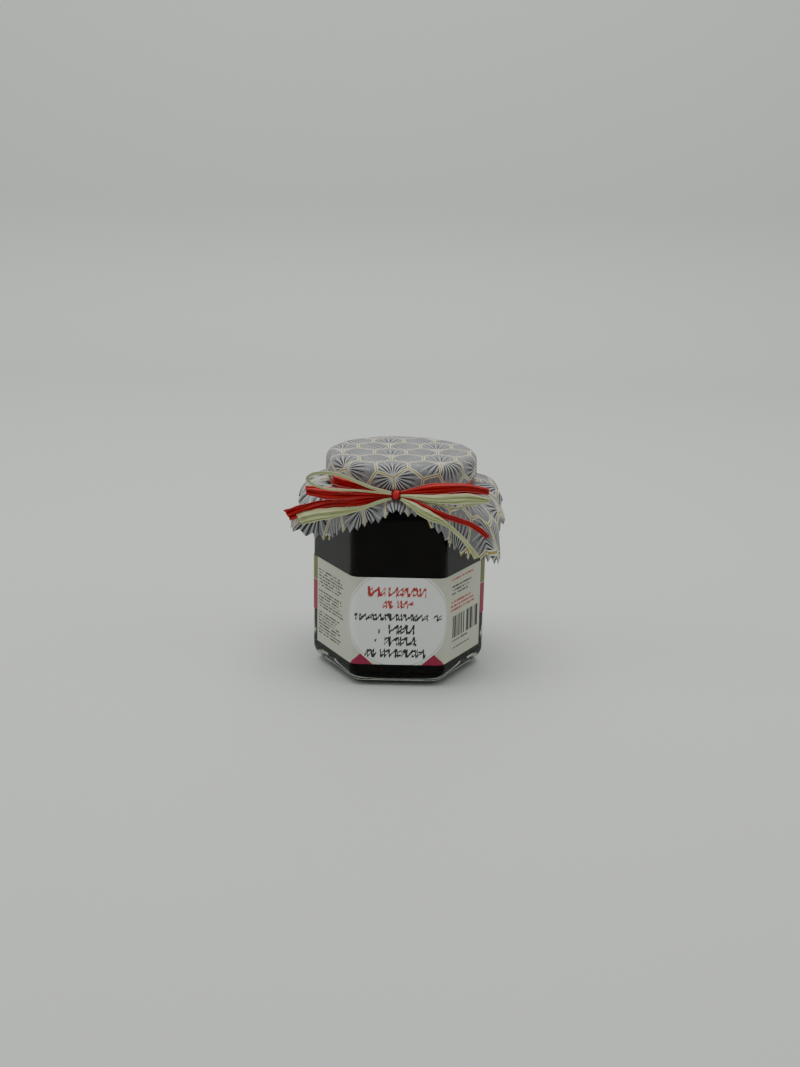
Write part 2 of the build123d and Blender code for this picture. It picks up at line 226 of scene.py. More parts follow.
def grain_group():
    """Fine surface grain: a place and a scale in, a soft and a sharp value out."""
    group = bpy.data.node_groups.new("fine_grain", "ShaderNodeTree")
    group.interface.new_socket("Place", in_out="INPUT", socket_type="NodeSocketVector")
    group.interface.new_socket("Scale", in_out="INPUT", socket_type="NodeSocketFloat")
    group.interface.new_socket("Soft", in_out="OUTPUT", socket_type="NodeSocketFloat")
    group.interface.new_socket("Sharp", in_out="OUTPUT", socket_type="NodeSocketFloat")
    nodes = Nodes(group)
    entry = nodes.add("NodeGroupInput")
    leave = nodes.add("NodeGroupOutput")
    soft = nodes.noise(entry.outputs["Place"], entry.outputs["Scale"], 3.0)
    finer = nodes.math("MULTIPLY", entry.outputs["Scale"], 6.0)
    sharp = nodes.noise(entry.outputs["Place"], finer, 4.0)
    nodes.feed(leave.inputs["Soft"], soft)
    nodes.feed(leave.inputs["Sharp"], sharp)
    return group


GRAIN = grain_group()


def grain(nodes, place, scale):
    node = nodes.add("ShaderNodeGroup", node_tree=GRAIN)
    nodes.feed(node.inputs["Place"], place)
    nodes.feed(node.inputs["Scale"], scale)
    return node.outputs["Soft"], node.outputs["Sharp"]


# ---------------------------------------------------------------- materials

GLASS_TINT = (0.42, 0.44, 0.40, 1)
GLASS_SHINE = (0.6, 0.6, 0.6, 1)
GLASS_IOR = 1.3
JAM_COLORS = (0.003, 0.0008, 0.0008, 1), (0.010, 0.0015, 0.0015, 1)
LID_COLORS = (0.48, 0.40, 0.22, 1), (0.56, 0.48, 0.28, 1)
STAGE_COLORS = (0.60, 0.62, 0.60, 1), (0.63, 0.65, 0.63, 1)


def glass_material():
    material, nodes, shader = new_material("clear_jar_glass")
    soft, sharp = grain(nodes, object_place(nodes), 60.0)
    shader.inputs["Base Color"].default_value = GLASS_TINT
    shader.inputs["Transmission Weight"].default_value = 1.0
    shader.inputs["IOR"].default_value = GLASS_IOR
    shader.inputs["Specular Tint"].default_value = GLASS_SHINE
    nodes.feed(shader.inputs["Roughness"], nodes.math("MULTIPLY", sharp, 0.02))
    nodes.feed(shader.inputs["Normal"], nodes.bump(soft, 0.05, 0.0005))
    return material


def jam_material():
    material, nodes, shader = new_material("dark_jam")
    soft, sharp = grain(nodes, object_place(nodes), 90.0)
    color = nodes.mix(soft, *JAM_COLORS)
    nodes.feed(shader.inputs["Base Color"], color)
    nodes.feed(shader.inputs["Roughness"], nodes.math("MULTIPLY_ADD", sharp, 0.2, 0.3))
    shader.inputs["Specular IOR Level"].default_value = 0.0
    return material


def lid_material():
    material, nodes, shader = new_material("lacquered_lid")
    soft, sharp = grain(nodes, object_place(nodes), 120.0)
    color = nodes.mix(soft, *LID_COLORS)
    nodes.feed(shader.inputs["Base Color"], color)
    shader.inputs["Metallic"].default_value = 1.0
    nodes.feed(shader.inputs["Roughness"], nodes.math("MULTIPLY_ADD", sharp, 0.15, 0.25))
    return material


SAGE = (0.50, 0.51, 0.41, 1)
PALE_SAGE = (0.54, 0.545, 0.45, 1)
WHITE = (0.74, 0.75, 0.73, 1)
DEEP_PINK = (0.30, 0.004, 0.045, 1)
DARK_PINK = (0.26, 0.01, 0.04, 1)
OLIVE = (0.13, 0.14, 0.035, 1)
PALE_OLIVE = (0.17, 0.18, 0.05, 1)
INK = (0.02, 0.02, 0.018, 1)
RED_INK = (0.42, 0.03, 0.03, 1)
RING_GREY = (0.38, 0.39, 0.38, 1)

# Front label, in millimetres from its middle and up from its bottom edge
DISC_HEIGHT = 21.6
DISC_RADIUS = 23.3
RING_RADII = (22.35, 22.65)
PEAK_PLACE = 16.4
PEAK_HEIGHT = 5.2
PEAK_SLOPE = 0.97
PRINT_SOFTNESS = 0.08
CUT_SOFTNESS = 0.05
BAR_STEP = 0.5
STROKE_LEAN = -0.35
STROKE_WAVES = ((2.1, 0.0), (3.3, 1.9))
# Greeked strokes: left, right, height and thickness
RED_STROKES = ((-13.6, 12.4, 34.2, 1.9), (-6.8, 6.8, 28.4, 1.6))
DARK_STROKES = ((-19.4, 19.6, 22.4, 1.4), (-8.6, 7.6, 16.7, 1.9), (-10.2, 8.8, 11.1, 1.9),
                (-14.6, 12.8, 5.4, 1.7))
# Blocks of tiny greeked words: left, right, bottom, top and pitch
DARK_BLOCKS = ((-53.6, -33.0, 4.0, 15.6, 1.45), (-53.6, -31.0, 17.4, 26.0, 1.45),
               (-53.6, -31.0, 27.8, 36.5, 1.45), (28.0, 46.0, 30.6, 35.6, 1.7),
               (29.0, 47.0, 7.6, 9.2, 1.6), (29.0, 44.0, 4.6, 5.8, 1.2))
RED_BLOCKS = ((27.0, 46.0, 36.9, 38.6, 1.7), (27.0, 48.0, 22.4, 28.0, 1.9))
# Upright bars: left, right, bottom and top
BARS = (28.2, 53.0, 10.2, 20.6)

# Back label, in millimetres down from its top edge
BAND_EDGE = (11.3, 11.1)
BAND_LINE = (11.5, 11.0)


def label_place(nodes):
    """Millimetres along the label from its middle, and up from its bottom edge."""
    x, _, z = nodes.parts(object_place(nodes))
    width = nodes.math("ABSOLUTE", x)
    past_corner = nodes.math("MAXIMUM", nodes.math("SUBTRACT", width, HALF_PANEL), 0.0)
    along = nodes.math("MULTIPLY", nodes.math("ADD", width, past_corner), nodes.math("SIGN", x))
    along = nodes.math("MULTIPLY", along, 1 / MM)
    up = nodes.math("MULTIPLY", nodes.math("SUBTRACT", z, LABEL_LOW[2]), 1 / MM)
    return along, up


def scribble(nodes, along, up, line):
    """A stroke of greeked writing: left, right, height above the label's edge, thickness."""
    left, right, height, thickness = line
    above = nodes.math("SUBTRACT", up, height)
    leaning = nodes.math("MULTIPLY_ADD", above, STROKE_LEAN, along)
    drift = nodes.math("MULTIPLY", nodes.noise(nodes.vector(along, height), 0.5, 1.0), 6.0)
    stroke = None
    for rate, start in STROKE_WAVES:
        turn = nodes.math("MULTIPLY_ADD", leaning, rate / math.sqrt(thickness), start)
        wave = nodes.math("SINE", nodes.math("ADD", turn, drift))
        swing = nodes.math("MULTIPLY", wave, thickness * 0.85)
        distance = nodes.math("ABSOLUTE", nodes.math("SUBTRACT", above, swing))
        weight = nodes.noise(nodes.vector(along, height * 3.1 + rate), 0.8, 2.0)
        half = nodes.math("MULTIPLY", nodes.math("SUBTRACT", weight, 0.12), thickness * 1.1)
        line_mask = nodes.step(nodes.math("SUBTRACT", half, distance), -0.06, 0.08)
        stroke = line_mask if stroke is None else nodes.either(stroke, line_mask)
    gaps = nodes.step(nodes.noise(nodes.vector(along, height * 7.7), 0.3, 0.0), 0.30, 0.33)
    return nodes.both(nodes.both(stroke, gaps), nodes.between(along, left, right, CUT_SOFTNESS))


def text_block(nodes, along, up, block):
    """Rows of tiny greeked words: left, right, bottom, top and pitch."""
    left, right, bottom, top, pitch = block
    row = nodes.math("FLOOR", nodes.math("DIVIDE", up, pitch))
    inside = nodes.math("FRACT", nodes.math("DIVIDE", up, pitch))
    line = nodes.between(inside, 0.22, 0.72, 0.08)
    place = nodes.vector(along, nodes.math("MULTIPLY", row, 5.3))
    words = nodes.step(nodes.noise(place, 0.9, 3.0), 0.40, 0.50)
    ragged = nodes.noise(nodes.vector(nodes.math("MULTIPLY", row, 3.7), 2.0), 1.0, 0.0)
    end = nodes.math("MULTIPLY_ADD", nodes.math("SUBTRACT", ragged, 0.5), 14.0, right)
    cut = nodes.step(nodes.math("SUBTRACT", end, along), -0.1, 0.1)
    mask = nodes.both(nodes.both(line, words), cut)
    mask = nodes.both(mask, nodes.between(along, left, right + 5.0, CUT_SOFTNESS))
    return nodes.both(mask, nodes.between(up, bottom, top, CUT_SOFTNESS))


def bar_block(nodes, along, up, block):
    """A generic block of upright bars: left, right, bottom and top."""
    left, right, bottom, top = block
    wide = nodes.math("ROUND", nodes.math("DIVIDE", along, BAR_STEP))
    place = nodes.vector(nodes.math("MULTIPLY", wide, 2.3), 1.0)
    bars = nodes.step(nodes.noise(place, 1.0, 0.0), 0.47, 0.50)
    bars = nodes.both(bars, nodes.between(along, left, right, CUT_SOFTNESS))
    return nodes.both(bars, nodes.between(up, bottom, top, CUT_SOFTNESS))


def printed(nodes, along, up, draw, rows):
    """Every row of a table drawn in turn and joined into one mask."""
    mask = draw(nodes, along, up, rows[0])
    for row in rows[1:]:
        mask = nodes.either(mask, draw(nodes, along, up, row))
    return mask


def front_label_material():
    material, nodes, shader = new_material("printed_front_label")
    along, up = label_place(nodes)
    soft, sharp = grain(nodes, nodes.vector(along, up), 0.35)
    color = nodes.mix(soft, SAGE, PALE_SAGE)
    from_peak = nodes.math("ABSOLUTE", nodes.math("SUBTRACT", nodes.math("ABSOLUTE", along), PEAK_PLACE))
    slope = nodes.math("SUBTRACT", PEAK_HEIGHT, nodes.math("MULTIPLY", from_peak, PEAK_SLOPE))
    triangle = nodes.step(nodes.math("SUBTRACT", slope, up), -PRINT_SOFTNESS, PRINT_SOFTNESS)
    color = nodes.mix(triangle, color, DEEP_PINK)
    height = nodes.math("SUBTRACT", up, DISC_HEIGHT)
    reach = nodes.math("SQRT", nodes.squares(along, height))
    color = nodes.mix(nodes.below(reach, DISC_RADIUS, PRINT_SOFTNESS), color, WHITE)
    color = nodes.mix(nodes.between(reach, *RING_RADII, 0.06), color, RING_GREY)
    color = nodes.mix(printed(nodes, along, up, scribble, RED_STROKES), color, RED_INK)
    dark = printed(nodes, along, up, scribble, DARK_STROKES)
    dark = nodes.either(dark, printed(nodes, along, up, text_block, DARK_BLOCKS))
    dark = nodes.either(dark, bar_block(nodes, along, up, BARS))
    color = nodes.mix(dark, color, INK)
    color = nodes.mix(printed(nodes, along, up, text_block, RED_BLOCKS), color, RED_INK)
    nodes.feed(shader.inputs["Base Color"], color)
    nodes.feed(shader.inputs["Roughness"], nodes.math("MULTIPLY_ADD", sharp, 0.15, 0.42))
    nodes.feed(shader.inputs["Normal"], nodes.bump(sharp, 0.05, 0.0002))
    return material


def back_label_material():
    material, nodes, shader = new_material("banded_back_label")
    along, up = label_place(nodes)
    soft, sharp = grain(nodes, nodes.vector(along, up), 0.3)
    height = (BACK_HIGH[2] - LABEL_LOW[2]) / MM
    upper = nodes.mix(soft, OLIVE, PALE_OLIVE)
    lower = nodes.mix(soft, DARK_PINK, DEEP_PINK)
    band = nodes.step(up, height - BAND_EDGE[0], height - BAND_EDGE[1])
    color = nodes.mix(band, lower, upper)
    line = nodes.between(up, height - BAND_LINE[0], height - BAND_LINE[1], PRINT_SOFTNESS)
    color = nodes.mix(nodes.math("MULTIPLY", line, 0.6), color, SAGE)
    nodes.feed(shader.inputs["Base Color"], color)
    nodes.feed(shader.inputs["Roughness"], nodes.math("MULTIPLY_ADD", sharp, 0.15, 0.42))
    return material


def hexagon_print(nodes, x, y):
    """Hexagon lines and radiating fans: distance to an edge, and the fan's angle and radius."""
    width = PRINT_WIDTH
    tall = width * math.sqrt(3)
    radius = width / math.sqrt(3)

    def cell(shift_x, shift_y):
        column = nodes.math("ROUND", nodes.math("DIVIDE", nodes.math("SUBTRACT", x, shift_x), width))
        row = nodes.math("ROUND", nodes.math("DIVIDE", nodes.math("SUBTRACT", y, shift_y), tall))
        centre_x = nodes.math("MULTIPLY_ADD", column, width, shift_x)
        centre_y = nodes.math("MULTIPLY_ADD", row, tall, shift_y)
        away_x = nodes.math("SUBTRACT", x, centre_x)
        away_y = nodes.math("SUBTRACT", y, centre_y)
        return centre_x, centre_y, nodes.squares(away_x, away_y)

    first = cell(0.0, 0.0)
    second = cell(width / 2, tall / 2)
    use_second = nodes.math("LESS_THAN", second[2], first[2])

    def choose(index):
        gap = nodes.math("SUBTRACT", second[index], first[index])
        return nodes.math("MULTIPLY_ADD", gap, use_second, first[index])

    centre_x = choose(0)
    centre_y = choose(1)
    away_x = nodes.math("SUBTRACT", x, centre_x)
    away_y = nodes.math("SUBTRACT", y, centre_y)
    across = nodes.math("ABSOLUTE", away_x)
    slant = nodes.math("ADD", nodes.math("MULTIPLY", across, 0.5),
                       nodes.math("MULTIPLY", nodes.math("ABSOLUTE", away_y), math.sqrt(3) / 2))
    edge = nodes.math("SUBTRACT", width / 2, nodes.math("MAXIMUM", across, slant))
    row = nodes.math("DIVIDE", centre_y, tall / 2)
    count = nodes.math("SUBTRACT", nodes.math("DIVIDE", centre_x, width), nodes.math("MULTIPLY", row, 1.5))
    kind = nodes.math("FLOORED_MODULO", nodes.math("ROUND", count), 3.0)
    is_right = nodes.math("COMPARE", kind, 1.0, 0.3)
    is_left = nodes.math("COMPARE", kind, 2.0, 0.3)
    star_x = nodes.math("MULTIPLY", nodes.math("SUBTRACT", is_right, is_left), width / 2)
    star_y = nodes.math("MULTIPLY_ADD", nodes.math("ADD", is_right, is_left), radius * 1.5, -radius)
    fan_x = nodes.math("SUBTRACT", away_x, star_x)
    fan_y = nodes.math("SUBTRACT", away_y, star_y)
    angle = nodes.math("ARCTAN2", fan_y, fan_x)
    return edge, angle, nodes.math("SQRT", nodes.squares(fan_x, fan_y))


COTTON_GREYS = (0.15, 0.15, 0.16, 1), (0.30, 0.30, 0.31, 1)
FAN_BLACK = (0.022, 0.022, 0.027, 1)
FAN_WHITE = (0.50, 0.50, 0.49, 1)
STAR_WHITE = (0.58, 0.58, 0.57, 1)
CREAM = (0.66, 0.67, 0.57, 1)
GOLDS = (0.30, 0.21, 0.05, 1), (0.46, 0.37, 0.12, 1)


def cotton_material():
    material, nodes, shader = new_material("printed_cotton")
    flat = nodes.add("ShaderNodeUVMap", uv_map="flat_cloth").outputs["UV"]
    u, v = nodes.parts(flat)[:2]
    x = nodes.math("MULTIPLY", nodes.math("SUBTRACT", u, 0.5), 1 / MM)
    y = nodes.math("MULTIPLY", nodes.math("SUBTRACT", v, 0.5), 1 / MM)
    moved_x = nodes.math("SUBTRACT", x, PRINT_STAR[0])
    moved_y = nodes.math("SUBTRACT", y, PRINT_STAR[1])
    cosine = math.cos(PRINT_TURN)
    sine = math.sin(PRINT_TURN)
    turned_x = nodes.math("ADD", nodes.math("MULTIPLY", moved_x, cosine),
                          nodes.math("MULTIPLY", moved_y, sine))
    turned_y = nodes.math("SUBTRACT", nodes.math("MULTIPLY", moved_y, cosine),
                          nodes.math("MULTIPLY", moved_x, sine))
    radius = PRINT_WIDTH / math.sqrt(3)
    print_y = nodes.math("SUBTRACT", turned_y, radius)
    edge, angle, reach = hexagon_print(nodes, turned_x, print_y)
    turns = nodes.math("MULTIPLY", angle, FAN_SECTORS / (2 * math.pi))
    phase = nodes.math("ABSOLUTE", nodes.math("SUBTRACT", nodes.math("FRACT", turns), 0.5))
    arc = 2 * math.pi / FAN_SECTORS
    from_black = nodes.math("MULTIPLY", nodes.math("MULTIPLY", phase, arc), reach)
    opposite = nodes.math("SUBTRACT", 0.5, phase)
    from_white = nodes.math("MULTIPLY", nodes.math("MULTIPLY", opposite, arc), reach)
    share = nodes.math("DIVIDE", reach, PRINT_WIDTH)
    white_half = nodes.math("MULTIPLY_ADD", share, -0.10, 0.25)
    white = nodes.step(nodes.math("SUBTRACT", white_half, from_white), -0.07, 0.07)
    white = nodes.both(white, nodes.below(share, 0.93, 0.03))
    black_half = nodes.math("MULTIPLY_ADD", share, -0.30, 0.42)
    black = nodes.step(nodes.math("SUBTRACT", black_half, from_black), -0.06, 0.06)
    black = nodes.both(black, nodes.between(share, 0.16, 0.72, 0.03))
    soft, sharp = grain(nodes, nodes.vector(x, y), 0.55)
    threads = nodes.math("MULTIPLY", nodes.math("SINE", nodes.math("MULTIPLY", x, THREAD_RATE)),
                         nodes.math("SINE", nodes.math("MULTIPLY", y, THREAD_RATE)))
    ground = nodes.mix(nodes.step(sharp, 0.35, 0.65), *COTTON_GREYS)
    color = nodes.mix(black, ground, FAN_BLACK)
    color = nodes.mix(nodes.math("MULTIPLY", white, 0.9), color, FAN_WHITE)
    color = nodes.mix(nodes.below(reach, 0.7, 0.3), color, STAR_WHITE)
    color = nodes.mix(nodes.below(edge, CREAM_LINE, 0.08), color, CREAM)
    gold = nodes.mix(soft, *GOLDS)
    color = nodes.mix(nodes.below(edge, GOLD_LINE, 0.06), color, gold)
    nodes.feed(shader.inputs["Base Color"], color)
    nodes.feed(shader.inputs["Roughness"], nodes.math("MULTIPLY_ADD", sharp, 0.12, 0.8))
    shader.inputs["Sheen Weight"].default_value = 0.08
    nodes.feed(shader.inputs["Normal"], nodes.bump(threads, 0.25, 0.0001))
    return material


# Raffia colours: dark and light fibres, then a pale painted highlight for the strips' edges.
RED_RAFFIA = (0.27, 0.001, 0.002, 1), (0.72, 0.004, 0.006, 1), (0.80, 0.22, 0.20, 1)
GREEN_RAFFIA = (0.36, 0.40, 0.17, 1), (0.72, 0.74, 0.46, 1), (0.82, 0.82, 0.62, 1)
WOUND_RAFFIA = (0.25, 0.001, 0.002, 1), (0.68, 0.004, 0.006, 1)


def stretched_noise(nodes, along, long_rate, across, cross_rate):
    """Fibres that run along one way and change fast across it."""
    place = nodes.vector(nodes.math("MULTIPLY", along, long_rate), nodes.math("MULTIPLY", across, cross_rate))
    return nodes.noise(place, 1.0, 4.0)


def raffia_material(name, dark, light, painted_edge_highlight):
    """Creased flat raffia: lengthwise fibres on the strip's own UV, with a painted highlight in a paler band
    along its edges.
    """
    material, nodes, shader = new_material(name)
    along, across = nodes.parts(nodes.add("ShaderNodeUVMap", uv_map="strip").outputs["UV"])[:2]
    fibres = stretched_noise(nodes, along, 3.0, across, 26.0)
    patches = nodes.noise(nodes.vector(nodes.math("MULTIPLY", along, 9.0), across), 1.0, 2.0)
    color = nodes.mix(nodes.step(fibres, 0.35, 0.68), dark, light)
    color = nodes.mix(nodes.math("MULTIPLY", nodes.step(patches, 0.4, 0.7), 0.35), color, dark)
    # Painted highlight: a pale band along both edges of the strip, standing in for light caught by the curled
    # edges.
    edge = nodes.math("ABSOLUTE", nodes.math("SUBTRACT", across, 0.5))
    color = nodes.mix(nodes.math("MULTIPLY", nodes.step(edge, 0.44, 0.5), 0.75), color, painted_edge_highlight)
    nodes.feed(shader.inputs["Base Color"], color)
    nodes.feed(shader.inputs["Roughness"], nodes.math("MULTIPLY_ADD", fibres, 0.25, 0.38))
    nodes.feed(shader.inputs["Normal"], nodes.bump(fibres, 0.5, 0.0003))
    return material


def wound_raffia_material():
    """Raffia on the knot and the band, whose fibres run round the jar."""
    material, nodes, shader = new_material("wound_red_raffia")
    x, _, z = nodes.parts(object_place(nodes))
    fibres = stretched_noise(nodes, x, 120.0, z, 1500.0)
    color = nodes.mix(nodes.step(fibres, 0.35, 0.68), *WOUND_RAFFIA)
    nodes.feed(shader.inputs["Base Color"], color)
    nodes.feed(shader.inputs["Roughness"], nodes.math("MULTIPLY_ADD", fibres, 0.25, 0.38))
    nodes.feed(shader.inputs["Normal"], nodes.bump(fibres, 0.5, 0.0003))
    return material


def stage_material():
    material, nodes, shader = new_material("pale_sweep")
    color = nodes.mix(grain(nodes, object_place(nodes), 2.0)[0], *STAGE_COLORS)
    nodes.feed(shader.inputs["Base Color"], color)
    shader.inputs["Roughness"].default_value = 0.6
    return material


# ---------------------------------------------------------------- modelling helpers

def deselect():
    if bpy.context.object and bpy.context.object.mode != "OBJECT":
        bpy.ops.object.mode_set(mode="OBJECT")
    bpy.ops.object.select_all(action="DESELECT")


def take(name):
    """Name the object just added and its mesh."""
    piece = bpy.context.object
    piece.name = name
    piece.data.name = name
    return piece


def apply_modifier(piece, kind, **settings):
    deselect()
    piece.select_set(True)
    bpy.context.view_layer.objects.active = piece
    modifier = piece.modifiers.new(kind.lower(), kind)
    for name, value in settings.items():
        setattr(modifier, name, value)
    bpy.ops.object.modifier_apply(modifier=modifier.name)


def smooth(piece):
    deselect()
    piece.select_set(True)
    bpy.context.view_layer.objects.active = piece
    bpy.ops.object.shade_smooth_by_angle(angle=math.radians(50))


def dress(piece, material):
    piece.data.materials.clear()
    piece.data.materials.append(material)


def set_node(name, material):
    """Give a CAD node its finish through its object's own slots."""
    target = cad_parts[name]
    for slot in target.material_slots:
        slot.link = "OBJECT"
        slot.material = material


# ---------------------------------------------------------------- cloth cover

def hem_at(angle):
    """Distance from the axis and height of the hem at an azimuth in degrees."""
    first = HEM[0][0]
    angle = first + (angle - first) % 360
    ring = HEM + [(first + 360, HEM[0][1], HEM[0][2])]
    for low, high in zip(ring, ring[1:]):
        if low[0] <= angle <= high[0]:
            part = (angle - low[0]) / (high[0] - low[0])
            blend = part * part * (3 - 2 * part)
            return (low[1] + blend * (high[1] - low[1])) * MM, (low[2] + blend * (high[2] - low[2])) * MM
    return ring[-1][1] * MM, ring[-1][2] * MM


def hem_reach(angle):
    """Distance on the flat cloth from the jar's axis to the square's edge at an angle."""
    half = CLOTH_SIDE / 2
    reaches = []
    for direction, shift in ((math.cos(angle), CLOTH_SHIFT[0]), (math.sin(angle), CLOTH_SHIFT[1])):
        if abs(direction) > 1e-6:
            limit = half + shift if direction > 0 else half - shift
            reaches.append(limit / abs(direction))
    return min(reaches)


def skirt_length(angle):
    """Straight distance from the tie to the hem at an angle."""
    hem_radius, hem_height = hem_at(math.degrees(angle))
    return math.hypot(hem_radius - TIE_RADIUS, TIE_BOTTOM - hem_height)


FLAT_REACH = LID_RADIUS - EDGE_ROUND
EDGE_ARC = EDGE_ROUND * math.pi / 2
SIDE_TOP = COVER_HIGH[2] - EDGE_ROUND
SIDE_DROP = SIDE_TOP - TUCK_TOP
TUCK_ARC = TUCK_ROUND * math.pi / 2
TUCK_RUN = LID_RADIUS - TUCK_ROUND - TIE_RADIUS
TIE_DROP = TUCK_TOP - TUCK_ROUND - TIE_BOTTOM
TIE_REACH = FLAT_REACH + EDGE_ARC + SIDE_DROP + TUCK_ARC + TUCK_RUN + TIE_DROP


def cap_line(reach):
    """Radius, height and outward direction of the cover between the lid's middle and the tie."""
    if reach <= FLAT_REACH:
        return reach, COVER_HIGH[2], 0.0, 1.0
    reach -= FLAT_REACH
    if reach <= EDGE_ARC:
        turn = reach / EDGE_ROUND
        return (FLAT_REACH + EDGE_ROUND * math.sin(turn), SIDE_TOP + EDGE_ROUND * math.cos(turn),
                math.sin(turn), math.cos(turn))
    reach -= EDGE_ARC
    if reach <= SIDE_DROP:
        return LID_RADIUS, SIDE_TOP - reach, 1.0, 0.0
    reach -= SIDE_DROP
    if reach <= TUCK_ARC:
        turn = reach / TUCK_ROUND
        return (LID_RADIUS - TUCK_ROUND * (1 - math.cos(turn)), TUCK_TOP - TUCK_ROUND * math.sin(turn),
                math.cos(turn), -math.sin(turn))
    reach -= TUCK_ARC
    if reach <= TUCK_RUN:
        return LID_RADIUS - TUCK_ROUND - reach, TUCK_TOP - TUCK_ROUND, 0.3, -0.7
    reach -= TUCK_RUN
    return TIE_RADIUS, TUCK_TOP - TUCK_ROUND - reach, 1.0, 0.0


def curve(start, pull, end, part):
    rest = 1 - part
    return rest * rest * start + 2 * rest * part * pull + part * part * end


def fold(angle, part):
    """Depth of the gathers and folds: fine at the tie, wide and deep towards the hem."""
    gathers = math.sin(37 * angle + 1.3 * math.sin(3 * angle)) + 0.5 * math.sin(61 * angle + 2.0)
    wide = math.sin(14 * angle + 1.1 * math.sin(2 * angle + 0.6)) + 0.45 * math.sin(23 * angle + 1.7)
    return gathers * GATHER_DEPTH * (1 - part) + wide * FOLD_DEPTH * part ** 0.8


def cover_point(x, y):
    """Where a point of the flat cloth lies on the jar."""
    reach = math.hypot(x, y)
    angle = math.atan2(y, x)
    cosine = math.cos(angle)
    sine = math.sin(angle)
    if reach <= TIE_REACH:
        radius, height, out, up = cap_line(reach)
        near_tie = max(0.0, (reach - FLAT_REACH) / (TIE_REACH - FLAT_REACH))
        ripple = fold(angle, 0.0) * near_tie ** 1.5
        sag = SAG_DEPTH * math.sin(5 * angle + 0.4) * math.exp(-((reach / FLAT_REACH - 0.95) / 0.12) ** 2)
        radius += out * ripple
        height += up * ripple * 0.5 - abs(sag)
        return Vector((radius * cosine, radius * sine, height))
    hem_radius, hem_height = hem_at(math.degrees(angle))
    part = min(1.0, (reach - TIE_REACH) / (hem_reach(angle) - TIE_REACH))
    run = hem_radius - TIE_RADIUS
    radius = curve(TIE_RADIUS, TIE_RADIUS + SKIRT_REACH * run, hem_radius, part)
    height = curve(TIE_BOTTOM, TIE_BOTTOM + SKIRT_FALL * (hem_height - TIE_BOTTOM), hem_height, part)
    drop = TIE_BOTTOM - hem_height
    length = math.hypot(run, drop)
    depth = fold(angle, part)
    radius += depth * drop / length + max(0.0, depth) * 0.3
    height += depth * run / length
    return Vector((radius * cosine, radius * sine, height))


def make_cloth_cover():
    deselect()
    bpy.ops.mesh.primitive_grid_add(x_subdivisions=CLOTH_CELLS, y_subdivisions=CLOTH_CELLS, size=CLOTH_SIDE)
    cloth = take("gathered_cotton_cover")
    half = CLOTH_SIDE / 2
    cell = CLOTH_SIDE / CLOTH_CELLS
    flat = []
    for vertex in cloth.data.vertices:
        x, y = vertex.co.x, vertex.co.y
        from_edge = half - max(abs(x), abs(y))
        along = y if abs(x) > abs(y) else x
        step = (round((along + half) / cell) % TOOTH_CELLS) / TOOTH_CELLS
        angle = math.atan2(y + CLOTH_SHIFT[1], x + CLOTH_SHIFT[0])
        give = min(1.0, (hem_reach(angle) - TIE_REACH) / skirt_length(angle))
        notch = (1 - abs(2 * step - 1)) * TOOTH_DEPTH * give
        fade = max(0.0, 1 - from_edge / (TOOTH_FADE_CELLS * cell))
        shrink = 1 - notch * fade / half
        flat.append((x * shrink + CLOTH_SHIFT[0], y * shrink + CLOTH_SHIFT[1]))
    layer = cloth.data.uv_layers[0]
    layer.name = "flat_cloth"
    for loop in cloth.data.loops:
        x, y = flat[loop.vertex_index]
        layer.data[loop.index].uv = (x + 0.5, y + 0.5)
    for vertex, (x, y) in zip(cloth.data.vertices, flat):
        vertex.co = cover_point(x, y)
    cloth.data.update()
    smooth(cloth)
    apply_modifier(cloth, "SOLIDIFY", thickness=CLOTH_THICKNESS, offset=-1.0)
    dress(cloth, cotton_material())
    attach(cloth, "root")
    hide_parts("cloth_cover")
    return cloth


# ---------------------------------------------------------------- raffia

def spline_value(values, place):
    """A smooth value through evenly spaced values, at a place counted in spans."""
    index = min(int(place), len(values) - 2)
    part = place - index
    before = values[max(index - 1, 0)]
    start = values[index]
    end = values[index + 1]
    after = values[min(index + 2, len(values) - 1)]
    return 0.5 * (2 * start + (end - before) * part + (2 * before - 5 * start + 4 * end - after) * part ** 2
                  + (3 * start - before - 3 * end + after) * part ** 3)


def strip_frame(stations, place):
    """Centre and width of a strip at a place along it."""
    centre = Vector([spline_value([s[axis] for s in stations], place) for axis in range(3)]) * MM
    width = spline_value([s[3] for s in stations], place) * MM
    return centre, width


def make_strip(name, stations, material, seed):
    rows = STRIP_CELLS * (len(stations) - 1)
    deselect()
    bpy.ops.mesh.primitive_grid_add(x_subdivisions=rows, y_subdivisions=STRIP_CELLS, size=1)
    strip = take("strip_" + name)
    strip.data.uv_layers[0].name = "strip"
    for vertex in strip.data.vertices:
        share = vertex.co.x + 0.5
        across_share = vertex.co.y
        place = share * (len(stations) - 1)
        centre, width = strip_frame(stations, place)
        ahead = strip_frame(stations, min(place + 0.05, len(stations) - 1.0))[0]
        behind = strip_frame(stations, max(place - 0.05, 0.0))[0]
        direction = (ahead - behind).normalized()
        if name in EDGEWISE:
            across = direction.cross(Vector((0, -1, 0))).normalized()
        else:
            across = (Vector((0, 0, 1)) - direction * direction.z).normalized()
        facing = direction.cross(across)
        crease = math.cos(across_share * 15 + seed + 1.4 * math.sin(share * 5 + seed))
        curl = 0.10 * width * (crease + 0.6 * math.cos(across_share * 33 + 3 * seed))
        cut = 0.25 * width * across_share if share > 0.999 else 0.0
        ragged = 1 + 0.05 * math.sin(share * 41 + seed * 2 + across_share * 3)
        vertex.co = centre + across * (across_share * width * ragged) + facing * curl + direction * cut
    strip.data.update()
    smooth(strip)
    apply_modifier(strip, "SOLIDIFY", thickness=STRIP_THICKNESS, offset=0.0)
    dress(strip, material)
    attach(strip, "root")
    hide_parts("raffia_" + name)


